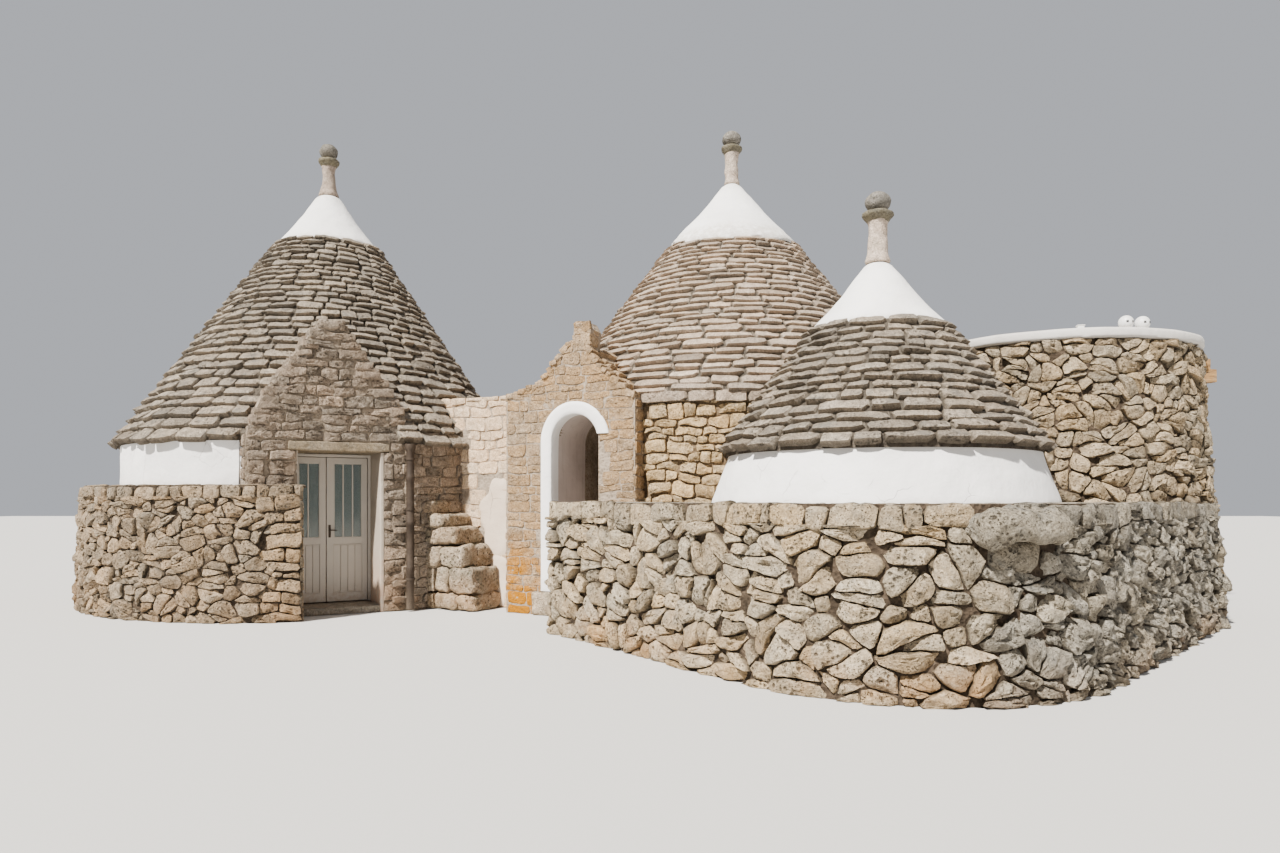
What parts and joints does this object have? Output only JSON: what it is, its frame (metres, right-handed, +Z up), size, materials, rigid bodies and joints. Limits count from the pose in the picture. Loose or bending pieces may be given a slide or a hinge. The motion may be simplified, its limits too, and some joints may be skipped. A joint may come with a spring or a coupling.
{
  "type": "trullo house",
  "caption": "Apulian trullo house with corbelled stone cones, white caps, carved pinnacles, rubble ring walls, a gabled porch, an arched portal and a round annex.",
  "frame": {"origin": "centre of the footprint box on the ground", "axes": "+Z up, -Y towards the door and portal fronts, +X to the right as seen from the front"},
  "size_m": [16.7599, 11.3198, 7.46],
  "materials": {
    "rubble": "rough dry-laid limestone rubble with dark open joints",
    "coursed_stone": "weathered coursed limestone with worn lime pointing",
    "roof_slab": "thin grey weathered limestone slabs laid dry",
    "whitewash": "matt whitewashed lime plaster",
    "carved_stone": "turned limestone, grey with lichen",
    "door_paint": "satin greige painted timber",
    "door_glass": "clear glass, dark room behind",
    "pipe": "aged brown metal",
    "old_timber": "sawn ochre timber",
    "lamp_white": "white satin housing",
    "floor_stone": "worn limestone flags"
  },
  "bodies": {
    "house": {"a_ring_wall_front": "rubble", "a_ring_wall_left": "rubble", "a_ring_wall_back": "rubble", "a_drum_left": "whitewash", "a_drum_back": "whitewash", "a_drum_right": "whitewash", "porch_pier_left": "coursed_stone", "porch_pier_right": "coursed_stone", "porch_lintel": "coursed_stone", "porch_gable": "coursed_stone", "porch_sill": "floor_stone", "a_floor": "floor_stone", "door_frame": "door_paint", "a_roof_cone_lower": "roof_slab", "a_roof_cone_upper": "roof_slab", "a_roof_cap": "whitewash", "a_pinnacle": "carved_stone", "downpipe": "pipe", "connecting_wall": "coursed_stone", "stair": "coursed_stone", "portal_pier_left": "coursed_stone", "portal_pier_right": "coursed_stone", "portal_arch": "coursed_stone", "portal_step": "floor_stone", "b_drum_left": "coursed_stone", "b_drum_front": "coursed_stone", "b_drum_right": "coursed_stone", "b_drum_back": "coursed_stone", "b_floor": "floor_stone", "b_roof_cone_lower": "roof_slab", "b_roof_cone_upper": "roof_slab", "b_roof_cap": "whitewash", "b_pinnacle": "carved_stone", "c_drum_left": "whitewash", "c_drum_right": "whitewash", "c_drum_back": "whitewash", "c_roof_cone_lower": "roof_slab", "c_roof_cone_upper": "roof_slab", "c_roof_cap": "whitewash", "c_pinnacle": "carved_stone", "terrace_return": "rubble", "terrace_wall_left": "rubble", "terrace_wall_nose": "rubble", "terrace_wall_right": "rubble", "terrace_fill": "floor_stone", "d_wall_left": "rubble", "d_wall_front": "rubble", "d_wall_back": "rubble", "d_door_head": "rubble", "d_door_pier": "rubble", "d_timber_lintel": "old_timber", "d_roof_slab": "whitewash", "d_coping": "whitewash", "d_roof_fittings": "lamp_white"},
    "leaf_left": {"door_leaf_left": "door_paint", "door_glass_left": "door_glass"},
    "leaf_right": {"door_leaf_right": "door_paint", "door_glass_right": "door_glass"}
  },
  "joints": [
    {"name": "left_leaf_hinge", "type": "hinge", "parent": "house", "child": "leaf_left", "pos_m": [-4.5361, -0.1598, 1.13], "axis": [0, 0, 1], "range_deg": [0, 90]},
    {"name": "right_leaf_hinge", "type": "hinge", "parent": "house", "child": "leaf_right", "pos_m": [-3.6813, 0.3337, 1.13], "axis": [0, 0, -1], "range_deg": [0, 90]}
  ]
}
